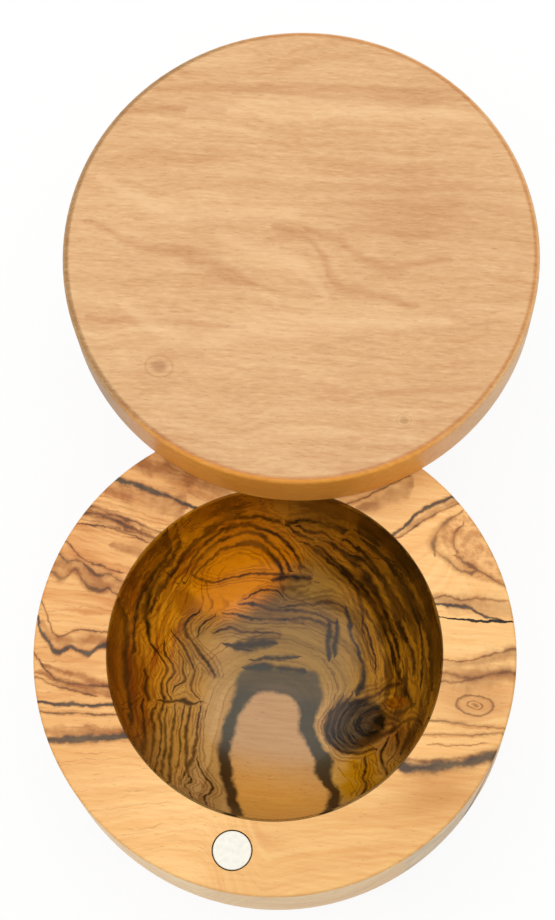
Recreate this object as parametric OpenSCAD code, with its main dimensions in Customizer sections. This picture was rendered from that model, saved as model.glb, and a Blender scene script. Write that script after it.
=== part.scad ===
// Round salt box turned from olive wood, with a lid that swivels aside on a hidden pin.
// The origin is the middle of the base's underside, +Z is up and +Y points to the pivot.
// The lid is drawn swung open. Turned on by open_turn about the pivot it covers the bowl.

/* [Base] */
// Diameter of the base at its rim
base_d = 100; // [94:1:110]
// Height of the base
base_h = 50; // [48:1:64]
// How far the side swells out beyond the rim
belly = 0.5; // [0:0.1:1.5]
// Height of the widest line of the side
belly_z = 25; // [18:1:30]
// Radius of the curve that draws the side in to the foot
side_curve_r = 90; // [80:5:160]
// Radius of the bottom edge
foot_edge_r = 2.5; // [1:0.5:3.5]
// Radius of the rim's outer edge
rim_edge_r = 0.6; // [0.2:0.1:1.2]

/* [Bowl] */
// Diameter of the bowl's mouth
bowl_d = 68.6; // [64:0.2:70]
// Depth of the bowl
bowl_depth = 38; // [32:1:40]
// Radius of the curve between the bowl's wall and floor
bowl_corner_r = 22; // [16:1:24]
// Radius of the dish that is the bowl's floor
bowl_floor_r = 60; // [50:1:90]
// Radius of the mouth's edge
bowl_edge_r = 0.8; // [0.2:0.1:1.2]

/* [Lid] */
// Diameter of the lid
lid_d = 100; // [94:1:110]
// Thickness of the lid
lid_h = 15.5; // [14:0.5:20]
// Radius of the lid's top edge
lid_top_edge_r = 1.5; // [0.5:0.1:3]
// Radius of the lid's lower edge
lid_under_edge_r = 0.5; // [0.2:0.1:1]
// Gap between the rim and the lid
lid_gap = 0.3; // [0.2:0.05:0.6]
// Angle between the lid as drawn and the lid closed, counted against the clock when opening
open_turn = 164.4; // [90:0.1:180]

/* [Pivot] */
// How far the pivot and the catch lie inwards of the middle of the rim's wall
pivot_shift = 0.65; // [0:0.05:0.7]
// Diameter of the pivot screw
screw_d = 4; // [3.5:0.1:4.2]
// Length of the screw that is held in the lid's insert
thread_grip = 8.2; // [6:0.1:10]
// Diameter of the screw's head
head_d = 7; // [6.4:0.1:7]
// Height of the screw's head
head_h = 4; // [3:0.1:4.4]
// Width across the flats of the socket in the head
socket_w = 3; // [2.5:0.1:3.2]
// Depth of the socket in the head
socket_depth = 2; // [1:0.1:2.4]
// Radial play of the screw in the base, a running fit
pivot_play = 0.05; // [0.02:0.01:0.1]
// Play of the screw's head along the pivot
end_play = 0.1; // [0.05:0.05:0.2]
// Diameter of the bore that hides the screw's head
counterbore_d = 8.6; // [8.4:0.1:9]
// Depth of the bore that hides the screw's head
counterbore_depth = 9.1; // [7:0.1:12]
// Diameter of the washer under the head
head_washer_d = 8; // [7.5:0.1:8.2]
// Thickness of the washer under the head
head_washer_h = 0.5; // [0.3:0.1:1]
// Radial gap between the screw and both washers
washer_play = 0.15; // [0.1:0.05:0.2]
// Diameter of the washer that the lid glides on
glide_washer_d = 9; // [8:0.1:10]
// Thickness of the washer that the lid glides on
glide_washer_h = 1; // [0.8:0.1:1.5]
// Radial gap around the washer that the lid glides on
glide_seat_play = 0.2; // [0.1:0.05:0.3]
// Diameter of the insert in the lid
insert_d = 6; // [5.6:0.1:7]
// Length of the insert beyond the screw's tip
insert_spare = 0.8; // [0.5:0.1:1.5]
// Width of each groove around the insert
insert_groove_w = 1; // [0.6:0.1:1.4]
// Depth of each groove around the insert
insert_groove_depth = 0.4; // [0.2:0.1:0.6]

/* [Catch] */
// Diameter of both magnets
magnet_d = 8; // [6:0.5:9]
// Thickness of both magnets
magnet_h = 3; // [2:0.5:4]
// Radial gap around each magnet
magnet_play = 0.18; // [0.05:0.01:0.3]
// How deep each magnet's face lies under the wood
magnet_sink = 0.1; // [0.05:0.05:0.4]
// Radius of each magnet's edges
magnet_edge_r = 0.2; // [0.1:0.05:0.4]

/* [Hidden] */
$fn = 96;
// Pieces of the long curves, the short edges and the smallest edges
long_arc_steps = 20;
edge_arc_steps = 6;
fine_arc_steps = 3;
// Overrun of a cut past the face that it opens
cut = 1;

wood_dark = [0.78, 0.56, 0.30];
wood_light = [0.88, 0.72, 0.50];
nickel = [0.93, 0.93, 0.91];
steel = [0.70, 0.71, 0.73];
brass = [0.80, 0.65, 0.33];
nylon = [0.92, 0.91, 0.87];

base_r = base_d / 2;
widest_r = base_r + belly;
lid_r = lid_d / 2;
bowl_r = bowl_d / 2;
bowl_floor_z = base_h - bowl_depth;
lid_z = base_h + lid_gap;
// Distance from the middle to the pivot, and to the catch on the other side
pivot_offset = (bowl_r + base_r) / 2 - pivot_shift;

// The screw hangs end_play below its washer, and reaches thread_grip into the lid
head_top_z = counterbore_depth - head_washer_h - end_play;
screw_tip_z = lid_z + thread_grip;
screw_edge_r = screw_d / 10;
head_edge_r = head_h / 10;
washer_bore_d = screw_d + 2 * washer_play;
insert_h = thread_grip + insert_spare;

// Points of an arc about [x, z], from one angle to another, in equal steps
function arc(x, z, r, from, to, steps) =
  [for (i = [0 : steps]) let (a = from + (to - from) * i / steps) [x + r * cos(a), z + r * sin(a)]];

// Half outline of the base: foot, drawn-in side, belly, and the rim's edge
function base_outline() =
  let (fall = asin((belly_z - foot_edge_r) / (side_curve_r - foot_edge_r)))
  let (foot_x = widest_r - side_curve_r + (side_curve_r - foot_edge_r) * cos(fall))
  concat(
    [[0, 0]],
    arc(foot_x, foot_edge_r, foot_edge_r, -90, -fall, edge_arc_steps),
    arc(widest_r - side_curve_r, belly_z, side_curve_r, -fall, 0, edge_arc_steps),
    arc(base_r - rim_edge_r, base_h - rim_edge_r, rim_edge_r, 0, 90, edge_arc_steps),
    [[0, base_h]]
  );

// Half outline of the bowl: dished floor, round corner, upright wall and the mouth's soft edge
function bowl_outline() =
  let (reach = bowl_floor_r - bowl_corner_r)
  let (corner_x = bowl_r - bowl_corner_r)
  let (corner_z = bowl_floor_z + bowl_floor_r - sqrt(pow(reach, 2) - pow(corner_x, 2)))
  let (meet = -acos(corner_x / reach))
  concat(
    arc(0, bowl_floor_z + bowl_floor_r, bowl_floor_r, -90, meet, edge_arc_steps),
    arc(corner_x, corner_z, bowl_corner_r, meet, 0, long_arc_steps),
    arc(bowl_r + bowl_edge_r, base_h - bowl_edge_r, bowl_edge_r, 180, 90, edge_arc_steps),
    [[bowl_r + bowl_edge_r, base_h + cut], [0, base_h + cut]]
  );

// Half outline of a disc with rounded edges, drawn from z = 0 up
function disc_outline(r, h, under_r, top_r, steps) =
  concat(
    [[0, 0]],
    arc(r - under_r, under_r, under_r, -90, 0, steps),
    arc(r - top_r, h - top_r, top_r, 0, 90, steps),
    [[0, h]]
  );

module at_pivot() {
  translate([0, pivot_offset, 0]) children();
}

module at_catch() {
  translate([0, -pivot_offset, 0]) children();
}

// Swings the lid and what it carries from closed to open about the pivot
module swung_open() {
  at_pivot() rotate([0, 0, -open_turn]) translate([0, -pivot_offset, lid_z]) children();
}

module ring(outer_d, inner_d, h) {
  difference() {
    cylinder(d = outer_d, h = h);
    translate([0, 0, -cut]) cylinder(d = inner_d, h = h + 2 * cut);
  }
}

module magnet() {
  rotate_extrude() polygon(disc_outline(magnet_d / 2, magnet_h, magnet_edge_r, magnet_edge_r, fine_arc_steps));
}

// Turned base with the bowl, the pivot's bore and seats, and the catch's pocket in the rim
module base() {
  color(wood_dark) difference() {
    rotate_extrude($fn = 144) polygon(base_outline());
    rotate_extrude($fn = 144) polygon(bowl_outline());
    at_pivot() {
      cylinder(r = screw_d / 2 + pivot_play, h = base_h + cut);
      translate([0, 0, -cut]) cylinder(d = counterbore_d, h = counterbore_depth + cut);
      translate([0, 0, lid_z - glide_washer_h])
        cylinder(d = glide_washer_d + 2 * glide_seat_play, h = glide_washer_h + cut);
    }
    at_catch() translate([0, 0, base_h - magnet_sink - magnet_h])
      cylinder(d = magnet_d + 2 * magnet_play, h = magnet_sink + magnet_h + cut);
  }
}

// Turned lid, flat on both faces, with the insert's hole and the catch's pocket underneath
module lid() {
  color(wood_light) swung_open() difference() {
    rotate_extrude($fn = 144)
      polygon(disc_outline(lid_r, lid_h, lid_under_edge_r, lid_top_edge_r, edge_arc_steps));
    at_pivot() translate([0, 0, -cut]) cylinder(d = insert_d, h = insert_h + cut);
    at_catch() translate([0, 0, -cut])
      cylinder(d = magnet_d + 2 * magnet_play, h = cut + magnet_sink + magnet_h);
  }
}

module base_magnet() {
  color(nickel) at_catch() translate([0, 0, base_h - magnet_sink - magnet_h]) magnet();
}

module lid_magnet() {
  color(nickel) swung_open() at_catch() translate([0, 0, magnet_sink]) magnet();
}

// Socket-head screw that stands head down in the base and turns with the lid
module pivot_screw() {
  color(steel) at_pivot() difference() {
    union() {
      translate([0, 0, head_top_z - head_h]) rotate_extrude()
        polygon(disc_outline(head_d / 2, head_h, head_edge_r, head_edge_r / 2, fine_arc_steps));
      translate([0, 0, head_top_z]) rotate_extrude()
        polygon(concat(
          [[0, 0], [screw_d / 2, 0], [screw_d / 2, screw_tip_z - head_top_z - screw_edge_r]],
          [[screw_d / 2 - screw_edge_r, screw_tip_z - head_top_z], [0, screw_tip_z - head_top_z]]
        ));
    }
    translate([0, 0, head_top_z - head_h - cut])
      cylinder(d = socket_w / cos(30), h = socket_depth + cut, $fn = 6);
  }
}

// Threaded sleeve pressed into the lid, with two grooves that hold it in the wood
module lid_insert() {
  color(brass) swung_open() at_pivot() difference() {
    cylinder(d = insert_d, h = insert_h);
    translate([0, 0, -cut]) cylinder(d = screw_d, h = insert_h + 2 * cut);
    for (share = [1 / 3, 2 / 3]) {
      translate([0, 0, insert_h * share - insert_groove_w / 2])
        ring(insert_d + cut, insert_d - 2 * insert_groove_depth, insert_groove_w);
    }
  }
}

module head_washer() {
  color(steel) at_pivot() translate([0, 0, counterbore_depth - head_washer_h])
    ring(head_washer_d, washer_bore_d, head_washer_h);
}

module glide_washer() {
  color(nylon) at_pivot() translate([0, 0, lid_z - glide_washer_h])
    ring(glide_washer_d, washer_bore_d, glide_washer_h);
}

base();
lid();
base_magnet();
lid_magnet();
pivot_screw();
lid_insert();
head_washer();
glide_washer();
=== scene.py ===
# %% [markdown]
# # A turned salt box of olive wood, with a lid that swivels aside
# The packed CAD model is loaded first and never changed: it holds the base, the lid, the two
# magnets and the pivot. This file adds what a camera sees: wood figure, oil sheen, metal, a floor,
# a lamp and a camera. Blender counts in metres, and the wood formulas count in millimetres.

# %% Load the frame
import math

import bpy
from mathutils import Matrix, Vector


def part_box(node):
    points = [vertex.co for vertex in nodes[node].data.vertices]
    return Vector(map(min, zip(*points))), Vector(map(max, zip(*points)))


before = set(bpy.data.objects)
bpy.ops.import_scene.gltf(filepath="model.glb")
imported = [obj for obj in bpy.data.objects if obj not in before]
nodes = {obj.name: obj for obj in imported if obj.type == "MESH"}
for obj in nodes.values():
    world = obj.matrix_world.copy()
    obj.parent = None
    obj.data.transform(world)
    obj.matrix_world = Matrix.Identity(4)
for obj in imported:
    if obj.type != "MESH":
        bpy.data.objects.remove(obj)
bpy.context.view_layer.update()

# %% [markdown]
# ## Sizes read from the model
# The wood's figure keeps to places such as the rim's height and the lid's middle. They could be
# typed in, but reading them from the loaded pieces keeps the paint on a piece if its size changes.
# Only the bowl's curve can't be read from a box, so its radii are given where the bowl is painted.

# %% Measure the pieces
MM = 0.001
base_low, base_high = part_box("base")
lid_low, lid_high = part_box("lid")
rim_height = base_high.z / MM
lid_top = lid_high.z / MM
lid_radius = (lid_high.x - lid_low.x) / 2 / MM
lid_middle = (lid_low + lid_high) / 2 / MM
print(f"rim at {rim_height:.1f} mm, lid centred on {lid_middle.x:.1f}, {lid_middle.y:.1f} mm")

# %% [markdown]
# ## Paint
# A shader counts in linear light, but a colour is easier to choose as the RRGGBB code that a screen
# shows. One helper turns a code into linear numbers, so that each finish reads as a list of paints.


# %% Paint
def paint(code):
    """A colour as a painter writes it, RRGGBB, turned into the linear numbers that a shader needs."""
    parts = [int(code[i : i + 2], 16) / 255 for i in (0, 2, 4)]
    linear = [p / 12.92 if p <= 0.04045 else ((p + 0.055) / 1.055) ** 2.4 for p in parts]
    return (*linear, 1.0)


print("honey-coloured wood in linear light:", [round(part, 3) for part in paint("F5C682")])

# %% [markdown]
# ## Sums on wires
# Wood figure takes hundreds of Math nodes, which are long to place by hand. A wire is one output of
# a node, and arithmetic on wires adds the Math nodes for it. `1 - mask * 0.5` then reads as a
# formula, and still ends up as ordinary nodes that can be opened and looked at.


# %% Wires
class Wire:
    """A number that runs through a node tree. Sums on it add Math nodes."""

    def __init__(self, bench, socket):
        self.bench = bench
        self.socket = socket

    def __add__(self, other):
        return self.bench.math("ADD", self, other)

    def __radd__(self, other):
        return self.bench.math("ADD", other, self)

    def __sub__(self, other):
        return self.bench.math("SUBTRACT", self, other)

    def __rsub__(self, other):
        return self.bench.math("SUBTRACT", other, self)

    def __mul__(self, other):
        return self.bench.math("MULTIPLY", self, other)

    def __rmul__(self, other):
        return self.bench.math("MULTIPLY", other, self)

    def __truediv__(self, other):
        return self.bench.math("DIVIDE", self, other)

    def __abs__(self):
        return self.bench.math("ABSOLUTE", self)


print("sums that a wire knows:", sum(callable(made) for made in vars(Wire).values()) - 1)

# %% [markdown]
# ## A bench for one finish
# A bench holds one material's node tree. Its `node` method adds any node, with the settings first
# and the sockets next. The other methods name what painting wood repeats: an eased slope, a blend,
# a stain, a patch, a curve through points. `finish` closes the tree with the surface itself, and
# turns relief given in millimetres into a bump.


# %% The bench
class Bench:
    """One material's node tree."""

    def __init__(self, name):
        self.material = bpy.data.materials.new(name)
        self.material.use_nodes = True
        self.tree = self.material.node_tree
        self.tree.nodes.clear()

    def node(self, kind, settings=None, sockets=None, out=0):
        """Adds a node: settings are set first, then sockets get their values or links."""
        made = self.tree.nodes.new(kind)
        for name, value in (settings or {}).items():
            setattr(made, name, value)
        for name, value in (sockets or {}).items():
            if isinstance(value, Wire):
                self.tree.links.new(value.socket, made.inputs[name])
            else:
                made.inputs[name].default_value = value
        return Wire(self, made.outputs[out]) if made.outputs else made

    def math(self, operation, *values):
        return self.node("ShaderNodeMath", {"operation": operation}, dict(enumerate(values)))

    def smooth(self, value, start, end):
        """0 at start, 1 at end, and an eased slope between them."""
        sockets = {"Value": value, "From Min": start, "From Max": end}
        return self.node("ShaderNodeMapRange", {"interpolation_type": "SMOOTHSTEP"}, sockets)

    def low(self, a, b):
        return self.math("MINIMUM", a, b)

    def high(self, a, b):
        return self.math("MAXIMUM", a, b)

    def length(self, x, y):
        return self.math("SQRT", x * x + y * y)

    def join(self, x, y, z):
        return self.node("ShaderNodeCombineXYZ", {}, {"X": x, "Y": y, "Z": z})

    def blend(self, share, under, over):
        """Lays a colour over another by a share between 0 and 1."""
        return self.node("ShaderNodeMix", {"data_type": "RGBA"}, {0: share, 6: under, 7: over}, 2)

    def tint(self, share, under, over):
        """Multiplies a colour into another by a share, as a stain does."""
        settings = {"data_type": "RGBA", "blend_type": "MULTIPLY"}
        return self.node("ShaderNodeMix", settings, {0: share, 6: under, 7: over}, 2)

    def noise(self, place, scale, detail=2.0, roughness=0.5):
        sockets = {"Vector": place, "Scale": scale, "Detail": detail, "Roughness": roughness}
        return self.node("ShaderNodeTexNoise", {}, sockets)

    def curve(self, along, points, handles):
        """A line through points, both axes from 0 to 1, that stays level past its ends."""
        made = self.node("ShaderNodeFloatCurve", {}, {"Value": along})
        mapping = made.socket.node.mapping
        mapping.extend = "HORIZONTAL"
        line = mapping.curves[0].points
        line[0].location = points[0]
        line[1].location = points[-1]
        for point in points[1:-1]:
            line.new(*point)
        for point in line:
            point.handle_type = handles
        mapping.update()
        return made

    def hill(self, x, y, middle, length, width, turn=0.0):
        """1 at a middle, falling to 0 around it: the shape of a swelling or a patch."""
        c, s = math.cos(math.radians(turn)), math.sin(math.radians(turn))
        across_x, across_y = x - middle[0], y - middle[1]
        along = (across_x * c + across_y * s) / length
        across = (across_y * c - across_x * s) / width
        return self.math("EXPONENT", (along * along + across * across) * -1.0)

    def place(self):
        """The point on the piece in millimetres, as three wires."""
        spot = self.node("ShaderNodeTexCoord", {}, {}, "Object")
        parts = self.node("ShaderNodeSeparateXYZ", {}, {"Vector": spot})
        return [Wire(self, socket) * (1 / MM) for socket in parts.socket.node.outputs]

    def finish(self, colour, roughness, height, depth, fixed):
        """The surface itself. Height times depth is its relief in millimetres."""
        bump = {"Height": height, "Distance": depth * MM, "Strength": 1.0}
        normal = self.node("ShaderNodeBump", {}, bump)
        sockets = {"Base Color": colour, "Roughness": roughness, "Normal": normal, **fixed}
        shader = self.node("ShaderNodeBsdfPrincipled", {}, sockets)
        self.node("ShaderNodeOutputMaterial", {}, {"Surface": shader})
        return self.material


def dress(node, material):
    """Gives a CAD node its finish, and leaves its mesh as it is."""
    mesh = nodes[node].data
    mesh.materials.clear()
    mesh.materials.append(material)
    print(f"{node}: {material.name}, {len(material.node_tree.nodes)} shader nodes")


print("CAD nodes to dress:", sorted(nodes))

# %% [markdown]
# ## Fibres and pores
# Seen close up, all olive wood has the same skin: fibres along the grain and short dark pores. An
# image could show them, but would stretch on the turned sides. Noise that is squeezed across the
# grain runs through the whole block, as real fibres do, so it is right on every face of it.


# %% Fibres and pores
def fibres(bench, x, y, z, lean):
    """Fine streaks along x, leaning by a slope, about 0.5 around their middle."""
    line = bench.join(x * 0.10, (y - x * lean) * 1.3, z * 1.3)
    return bench.noise(line, 1.0, 3.0, 0.6)


def pores(bench, x, y, z, lean):
    """Short dark dashes along x: 1 in a pore and 0 between them."""
    line = bench.join(x * 0.55, (y - x * lean) * 3.4, z * 3.4)
    return bench.smooth(bench.noise(line, 1.0, 1.0, 0.5), 0.66, 0.78)


print("recipes for the wood's skin:", fibres.__name__, "and", pores.__name__)

# %% [markdown]
# ## Drawing veins
# Olive wood's dark veins wander too freely for one formula, so the main ones are drawn one by one, as
# a painter grains a door. A stroke is a few points, each with its half width, all in millimetres seen
# from above. A chart says which way its strokes run. One curve node carries a stroke's course and
# another its width. The distance from the course, divided by the width, is below 1 on the stroke,
# so one threshold draws thin and broad veins alike.

# %% Charts and strokes
REACH = 52.0  # how far a chart reaches from the middle, in millimetres
TURN = 2 * math.pi
HAIR = 0.00001  # width of a stroke past its ends, as a share of the chart
TAPER = 0.008  # how far past its end a stroke has thinned to a hair, as a share of the chart


class Chart:
    """Tells how far along and how far across each point lies, both from 0 to 1."""

    def __init__(self, along, across, lay):
        self.along = along
        self.across = across
        self.lay = lay


def share(value):
    return (value + REACH) / (2 * REACH)


def rows(x, y):
    """For strokes that run from left to right."""
    return Chart(share(x), share(y), lambda px, py: (share(px), share(py)))


def columns(x, y):
    """For strokes that run from front to back."""
    return Chart(share(y), share(x), lambda px, py: (share(py), share(px)))


def circles(x, y):
    """For strokes that run round the middle. The angle jumps on the left, where none of them is."""
    angle = x.bench.math("ARCTAN2", y, x)

    def lay(px, py):
        return math.atan2(py, px) / TURN + 0.5, share(math.hypot(px, py))

    return Chart(angle / TURN + 0.5, share(x.bench.length(x, y)), lay)


def stroke(bench, chart, points):
    """The distance from one stroke, counted in its own half widths."""
    spots = sorted((*chart.lay(x, y), half_width / (2 * REACH)) for x, y, half_width in points)
    course = [(along, across) for along, across, _ in spots]
    widths = [(along, width) for along, _, width in spots]
    first, last = widths[0][0], widths[-1][0]
    before = [(first - 4 * TAPER, HAIR), (first - TAPER, HAIR)]
    after = [(last + TAPER, HAIR), (last + 4 * TAPER, HAIR)]
    middle = bench.curve(chart.along, course, "AUTO_CLAMPED")
    width = bench.curve(chart.along, before + widths + after, "VECTOR")
    return abs(chart.across - middle) / width


def strokes(bench, drawing):
    """The distance from the nearest of many strokes, each in its own half widths."""
    near = None
    for chart, lines in drawing:
        for points in lines:
            off = stroke(bench, chart, points)
            near = off if near is None else bench.low(near, off)
    return near


print(f"a chart is {2 * REACH:.0f} mm wide and deep")

# %% [markdown]
# ## Veins on the rim
# On the real box brown and grey-black veins run in from the left and the right and stop at a plain
# front. They could come from one noise, but then none would lie where it should. So each is a row
# of points here, `(x, y, half width)`. Left and right are meant as seen from the catch. The bands
# are the brown haze in which the veins lie, and the crack is the one real check in the wood.

# %% Strokes on the rim
RIM_BROWN = [
    [(-50, 21.9, 0.2), (-45, 22.6, 0.3), (-39, 21.7, 0.4), (-33, 20.8, 0.3), (-27, 19.6, 0.2)],
    [(-48, 20.6, 0.2), (-42, 21.2, 0.3), (-36, 19.9, 0.35), (-30, 18.7, 0.2)],
    [(-46, 18.6, 0.15), (-40, 18.9, 0.25), (-34, 18.2, 0.25), (-31, 17.4, 0.15)],
    [(-49.4, 15.6, 0.2), (-47.6, 14.2, 0.25), (-45.4, 12.7, 0.25), (-42.8, 11.1, 0.3),
     (-38.4, 10.4, 0.25), (-35, 10.0, 0.2)],
    [(-51, 11.9, 0.3), (-48.3, 11.3, 0.5), (-46.1, 10.1, 0.6), (-44.4, 10.8, 0.6),
     (-41.4, 9.5, 0.6), (-39.5, 8.5, 0.5), (-37, 9.3, 0.5), (-35.3, 8.5, 0.45), (-33, 8.1, 0.3)],
    [(-51, 7.9, 0.3), (-48.6, 7.2, 0.6), (-46.8, 6.4, 0.6), (-45.7, 7.2, 0.5), (-44.5, 8.7, 0.4),
     (-42.7, 7.0, 0.5), (-40.5, 5.6, 0.6), (-38.3, 5.5, 0.55), (-36.6, 6.4, 0.4), (-35.6, 5.5, 0.4),
     (-33.4, 5.3, 0.3)],
    [(-51, 2.4, 0.25), (-49.5, 0.5, 0.3), (-46.8, -3.8, 0.3), (-45.6, -5.5, 0.3),
     (-44.2, -5.8, 0.3), (-42.4, -4.5, 0.3), (-40.5, -3.5, 0.3), (-37.4, -3.2, 0.3),
     (-34, -2.9, 0.3)],
    [(-49.5, -9.6, 0.2), (-47.7, -11.5, 0.3), (-45.7, -13.3, 0.35), (-42.2, -14.7, 0.3),
     (-39.4, -14.9, 0.3), (-36.3, -14.6, 0.35), (-31.5, -13.9, 0.35)],
    [(-48, -15.2, 0.15), (-41, -15.9, 0.25), (-34, -16.4, 0.2)],
    [(-46, -21.9, 0.15), (-41, -21.4, 0.3), (-35, -20.4, 0.3), (-28, -19.2, 0.2)],
    [(7, 33.0, 0.2), (11, 35.4, 0.4), (15, 38.6, 0.3), (20, 42.4, 0.2)],
    [(20, 28.8, 0.2), (22, 30.4, 0.25), (25, 33.6, 0.3), (29, 37.0, 0.25), (33, 39.6, 0.2)],
    [(29.5, 17.4, 0.15), (33.3, 18.8, 0.25), (35.5, 18.5, 0.2), (39.5, 19.5, 0.25),
     (44.6, 20.3, 0.2)],
    [(34, 5.3, 0.1), (39.8, 6.5, 0.15), (44.1, 8.7, 0.2), (48.3, 10.4, 0.25), (51, 11.2, 0.2)],
    [(34.2, 2.7, 0.2), (37.4, 2.8, 0.3), (40.6, 2.6, 0.35), (43.4, 4.1, 0.35), (47.4, 5.4, 0.4),
     (51, 6.2, 0.3)],
    [(34.6, 0.9, 0.15), (37.7, 1.3, 0.2), (40.6, 2.3, 0.2)],
    [(34, -7.4, 0.2), (39, -6.8, 0.35), (45, -6.5, 0.3), (51, -5.9, 0.25)],
    [(33, -10.6, 0.25), (38, -9.7, 0.3), (44, -8.3, 0.3), (50, -7.0, 0.25)],
    [(35, -12.4, 0.1), (41, -11.2, 0.12), (46, -9.8, 0.12)],
]
RIM_GREY = [
    [(-43, 28.4, 0.3), (-40, 29.4, 0.8), (-36, 29.0, 0.7), (-30, 28.0, 0.55), (-25, 27.2, 0.5),
     (-19, 25.9, 0.3)],
    [(-44, 30.9, 0.2), (-41, 30.2, 0.5), (-38, 29.0, 0.4)],
    [(-51, -1.4, 0.4), (-49.6, -3.3, 0.5), (-48.7, -5.0, 0.6), (-46.6, -7.0, 0.6),
     (-44.0, -9.1, 0.7), (-42.1, -8.0, 0.6), (-41.2, -7.5, 0.5), (-39.4, -8.1, 0.6),
     (-37.6, -8.1, 0.7), (-36.1, -6.5, 0.7), (-35.0, -5.6, 0.7), (-33.4, -5.5, 0.6)],
    [(-47, -19.9, 0.2), (-42, -19.6, 0.4), (-36, -18.6, 0.45), (-29.5, -17.3, 0.4)],
    [(-44, -27.5, 0.3), (-40, -26.8, 0.8), (-35, -25.6, 0.95), (-30, -24.3, 0.9),
     (-24, -22.6, 0.6)],
    [(17, 27.5, 0.3), (20, 30.2, 0.5), (22.6, 33.8, 0.6), (26, 37.4, 0.6), (31, 40.6, 0.5)],
    [(29.5, 16.3, 0.3), (33.6, 17.0, 0.35), (36.8, 17.2, 0.4), (40, 16.4, 0.25), (45, 16.0, 0.12)],
    [(28, -17.2, 0.8), (31.5, -17.8, 1.2), (36, -16.9, 1.4), (41, -15.2, 1.3), (46, -13.0, 1.3),
     (51, -10.6, 1.4)],
]
RIM_BANDS = [
    [(-44, 33.4, 0.8), (-36, 33.8, 2.0), (-26, 32.6, 2.2), (-16, 30.6, 1.2)],
    [(-49, 20.4, 1.0), (-43, 21.4, 1.6), (-36, 20.0, 1.6), (-29, 18.4, 1.0)],
    [(-38, 15.4, 0.6), (-34, 15.2, 1.0), (-30, 14.8, 0.9)],
    [(-43, 27.4, 1.0), (-37, 26.8, 2.4), (-31, 26.4, 3.2), (-25, 26.4, 2.6)],
    [(-51, 9.0, 1.2), (-46.5, 8.8, 1.8), (-40, 7.4, 1.8), (-33, 6.8, 1.6)],
    [(-49, -3.4, 0.7), (-44.5, -6.6, 1.0), (-39, -5.6, 1.4), (-33, -4.4, 1.2)],
    [(-46, -12.4, 0.5), (-38, -13.2, 0.8), (-31, -14.0, 0.9)],
    [(-47, -14.2, 0.6), (-38, -15.2, 0.9), (-31, -15.8, 0.9)],
    [(-44, -25.6, 0.6), (-38, -24.8, 1.2), (-30, -22.8, 1.1), (-25, -21.6, 0.6)],
    [(11, 33.4, 0.8), (16, 36.6, 2.0), (21, 40.6, 2.2)],
    [(20, 28.8, 0.6), (24, 33.4, 1.1), (28.4, 37.4, 1.3), (33, 40.4, 1.0)],
    [(30, 17.6, 1.2), (36, 18.0, 2.0), (42, 18.8, 2.4), (50, 18.8, 1.8)],
    [(34, 4.6, 0.8), (39.8, 5.8, 1.4), (44.1, 8.0, 1.6), (51, 10.6, 1.3)],
    [(34, 2.0, 2.0), (40, 2.6, 2.8), (45, 4.4, 2.4), (51, 6.0, 1.8)],
    [(28, -16.0, 0.4), (33, -16.2, 0.5), (40, -14.2, 0.4), (47, -11.8, 0.5)],
]
RIM_BURL_ROWS = [
    [(28.6, 27.8, 0.4), (31.3, 26.3, 0.6), (33.8, 24.6, 0.5), (36.5, 24.3, 0.45), (37.8, 25.5, 0.4),
     (40.7, 24.4, 0.35), (45, 23.4, 0.3)],
    [(32.8, 27.6, 0.3), (34.5, 26.9, 0.5), (38, 25.6, 0.5), (42, 23.8, 0.3)],
]
RIM_BURL_COLUMNS = [
    [(32.5, 37.0, 0.3), (29.6, 34.4, 0.5), (28.3, 32.0, 0.7), (28.0, 29.8, 0.8), (28.7, 27.2, 0.6)],
    [(33.2, 34.6, 0.2), (31.8, 32.6, 0.4), (31.7, 30.4, 0.4), (33.0, 28.2, 0.3)],
]
RIM_CRACK = [
    [(31.5, 14.1, 0.12), (35, 14.3, 0.16), (39, 14.7, 0.26), (43, 15.5, 0.34), (46.8, 16.1, 0.2)],
]
print(len(RIM_BROWN) + len(RIM_GREY) + len(RIM_BANDS), "veins and bands on the rim")

# %% [markdown]
# ## Veins in the bowl
# Turning the bowl cut through a fork of the tree, so its veins fold, nest and curl. Three kinds of
# chart carry them: rows for what crosses the bowl, columns for what runs down its sides, circles
# for what follows its wall. The grey strokes are softer smudges in the middle.

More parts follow.
